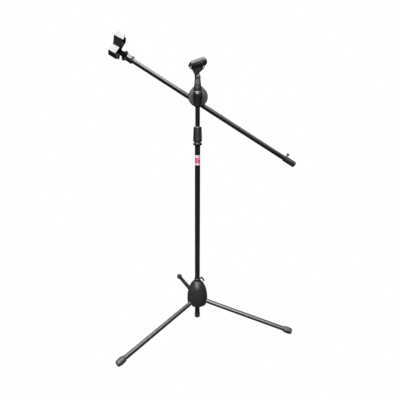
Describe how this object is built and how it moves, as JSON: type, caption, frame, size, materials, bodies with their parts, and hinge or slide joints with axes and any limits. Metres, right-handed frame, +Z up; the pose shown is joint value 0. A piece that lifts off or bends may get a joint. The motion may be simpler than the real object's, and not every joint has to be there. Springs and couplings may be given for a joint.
{
  "type": "boom microphone stand",
  "caption": "Folding tripod microphone stand with a telescopic column, a tilting boom arm with a tail weight, a spring clip on the boom and a barrel clip on top.",
  "frame": {"origin": "on the floor, under the column's axis", "axes": "+Z up along the column, +X towards the boom's lower weighted end, +Y towards the side of the column that the boom is on"},
  "size_m": [0.6955, 0.6513, 1.1103],
  "materials": {
    "black_steel": "gloss enamel",
    "satin_plastic": "satin moulded",
    "gloss_plastic": "polished moulded",
    "rubber": "matte",
    "zinc_steel": "bright zinc",
    "brass_insert": "turned",
    "fibre": "pressed fibre"
  },
  "bodies": {
    "hub": {"hub_shell": "gloss_plastic", "hub_core": "satin_plastic", "hub_collar": "satin_plastic", "leg_pin_1": "zinc_steel", "leg_pin_2": "zinc_steel", "leg_pin_3": "zinc_steel"},
    "leg_1": {"leg_tube_1": "black_steel", "leg_knuckle_1": "satin_plastic", "leg_foot_1": "rubber"},
    "leg_2": {"leg_tube_2": "black_steel", "leg_knuckle_2": "satin_plastic", "leg_foot_2": "rubber"},
    "leg_3": {"leg_tube_3": "black_steel", "leg_knuckle_3": "satin_plastic", "leg_foot_3": "rubber"},
    "lock_screw": {"hub_lock_screw": "satin_plastic"},
    "lower_column": {"lower_tube": "black_steel", "lower_tube_cap": "rubber", "clutch_ferrule": "satin_plastic", "clutch_collet": "satin_plastic"},
    "clutch_sleeve": {"clutch_sleeve": "satin_plastic"},
    "guide_bush": {"guide_bush": "satin_plastic"},
    "upper_column": {"upper_tube": "black_steel", "pivot_head": "gloss_plastic", "top_thread_stud": "zinc_steel", "pivot_bolt": "zinc_steel"},
    "boom_clamp": {"friction_washer": "fibre", "clamp_front": "satin_plastic", "clamp_rear": "satin_plastic"},
    "clamp_handle": {"clamp_handle": "satin_plastic"},
    "boom_bushing": {"boom_bushing": "satin_plastic"},
    "boom_arm": {"boom_tube": "black_steel", "boom_thread_plug": "zinc_steel", "boom_lock_ring": "rubber", "boom_end_plug": "rubber"},
    "tail_weight": {"tail_weight": "black_steel"},
    "tail_screw": {"tail_screw": "satin_plastic"},
    "end_clip_fork": {"end_clip_base": "gloss_plastic", "end_clip_insert": "brass_insert", "end_clip_bolt": "satin_plastic", "end_clip_nut": "satin_plastic"},
    "end_clip_back_jaw": {"end_clip_jaw_back": "gloss_plastic", "end_clip_pin": "zinc_steel", "end_clip_spring": "zinc_steel"},
    "end_clip_front_jaw": {"end_clip_jaw_front": "gloss_plastic"},
    "top_clip_fork": {"top_clip_base": "satin_plastic", "top_clip_insert": "brass_insert", "top_clip_screw": "zinc_steel", "top_clip_nut": "zinc_steel"},
    "top_clip_cradle": {"top_clip_cradle": "satin_plastic"}
  },
  "joints": [
    {"name": "leg_1_fold", "type": "hinge", "parent": "hub", "child": "leg_1", "pos_m": [0.02318, -0.00621, 0.094], "axis": [0.2588, 0.9659, 0], "range_deg": [0, 75]},
    {"name": "leg_2_fold", "type": "hinge", "parent": "hub", "child": "leg_2", "pos_m": [-0.00621, 0.02318, 0.094], "axis": [-0.9659, -0.2588, 0], "range_deg": [0, 75]},
    {"name": "leg_3_fold", "type": "hinge", "parent": "hub", "child": "leg_3", "pos_m": [-0.01697, -0.01697, 0.094], "axis": [0.7071, -0.7071, 0], "range_deg": [0, 75]},
    {"name": "hub_screw_turn", "type": "hinge", "parent": "hub", "child": "lock_screw", "pos_m": [0, 0, 0.1832], "axis": [0.8192, 0.5736, 0], "range_deg": [-180, 180]},
    {"name": "column_slide", "type": "slide", "parent": "hub", "child": "lower_column", "axis": [0, 0, 1], "range_m": [-0.01, 0.048]},
    {"name": "clutch_twist", "type": "hinge", "parent": "lower_column", "child": "clutch_sleeve", "pos_m": [0, 0, 0.765], "axis": [0, 0, 1], "range_deg": [-120, 120]},
    {"name": "height_slide", "type": "slide", "parent": "lower_column", "child": "guide_bush", "axis": [0, 0, 1], "range_m": [-0.064, 0.55]},
    {"name": "column_swivel", "type": "hinge", "parent": "guide_bush", "child": "upper_column", "pos_m": [0, 0, 0.15], "axis": [0, 0, 1], "continuous": true},
    {"name": "boom_tilt", "type": "hinge", "parent": "upper_column", "child": "boom_clamp", "pos_m": [0.0015, 0, 0.8972], "axis": [0, 1, 0], "range_deg": [-100, 55]},
    {"name": "clamp_handle_turn", "type": "hinge", "parent": "upper_column", "child": "clamp_handle", "pos_m": [0.0015, 0.055, 0.8972], "axis": [0, 1, 0], "range_deg": [-180, 180]},
    {"name": "boom_roll", "type": "hinge", "parent": "boom_clamp", "child": "boom_bushing", "pos_m": [-0.00675, 0.0357, 0.88373], "axis": [0.8526, 0, -0.5225], "continuous": true},
    {"name": "boom_slide", "type": "slide", "parent": "boom_bushing", "child": "boom_arm", "axis": [0.8526, 0, -0.5225], "range_m": [-0.36, 0.1]},
    {"name": "tail_weight_slide", "type": "slide", "parent": "boom_arm", "child": "tail_weight", "axis": [0.8526, 0, -0.5225], "range_m": [-0.33, 0]},
    {"name": "tail_screw_turn", "type": "hinge", "parent": "tail_weight", "child": "tail_screw", "pos_m": [0.3464, 0.0357, 0.68491], "axis": [0.5225, 0, 0.8526], "range_deg": [-180, 180]},
    {"name": "end_clip_turn", "type": "hinge", "parent": "boom_arm", "child": "end_clip_fork", "pos_m": [-0.24549, 0.0357, 1.03003], "axis": [0.8526, 0, -0.5225], "continuous": true},
    {"name": "end_clip_swivel", "type": "hinge", "parent": "end_clip_fork", "child": "end_clip_back_jaw", "pos_m": [-0.26008, 0.0357, 1.03896], "axis": [0.5225, 0, 0.8526], "range_deg": [-125, 30]},
    {"name": "end_clip_open", "type": "hinge", "parent": "end_clip_back_jaw", "child": "end_clip_front_jaw", "pos_m": [-0.27671, -0.00019, 1.06194], "axis": [0.7085, -0.5563, -0.4342], "range_deg": [0, 12], "stiffness_Nm_per_rad": 0.4, "springref_deg": -17.19},
    {"name": "top_clip_turn", "type": "hinge", "parent": "upper_column", "child": "top_clip_fork", "pos_m": [0, 0, 0.945], "axis": [0, 0, 1], "continuous": true},
    {"name": "top_clip_tilt", "type": "hinge", "parent": "top_clip_fork", "child": "top_clip_cradle", "pos_m": [0, 0, 0.964], "axis": [-0.3746, 0.9272, 0], "range_deg": [-60, 60]}
  ]
}
